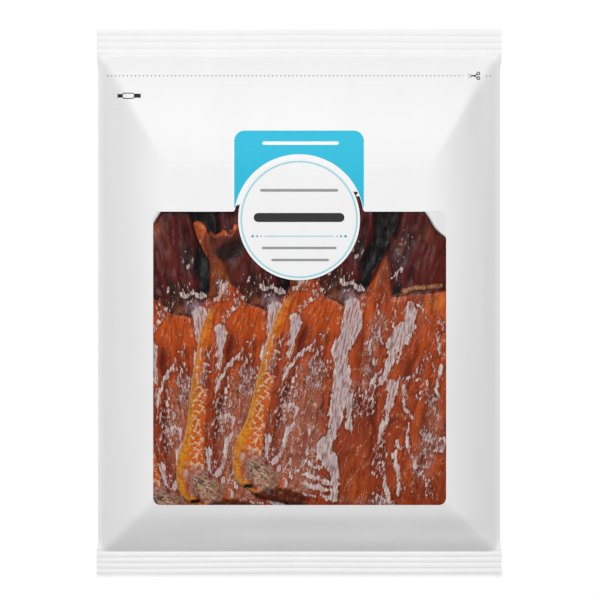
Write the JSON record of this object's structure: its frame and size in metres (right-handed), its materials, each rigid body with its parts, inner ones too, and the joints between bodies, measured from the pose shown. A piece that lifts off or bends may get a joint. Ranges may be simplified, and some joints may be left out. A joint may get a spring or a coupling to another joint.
{
  "type": "window pouch of dried squid",
  "caption": "Flat sealed film pouch with crimped ends and a square window that shows flattened dried squid fanned over one another.",
  "frame": {"origin": "middle of the pouch's flat back, on the surface that it lies on", "axes": "+Z out of the front with the window, +Y toward the top seal, +X to the right as seen from the front"},
  "size_m": [0.26, 0.35, 0.025],
  "materials": {
    "film": "satin white film",
    "squid": "dried, glossy, reddish brown"
  },
  "bodies": {
    "root": {"pouch": "film", "squid_left": "squid", "squid_middle": "squid", "squid_right": "squid"}
  },
  "joints": []
}
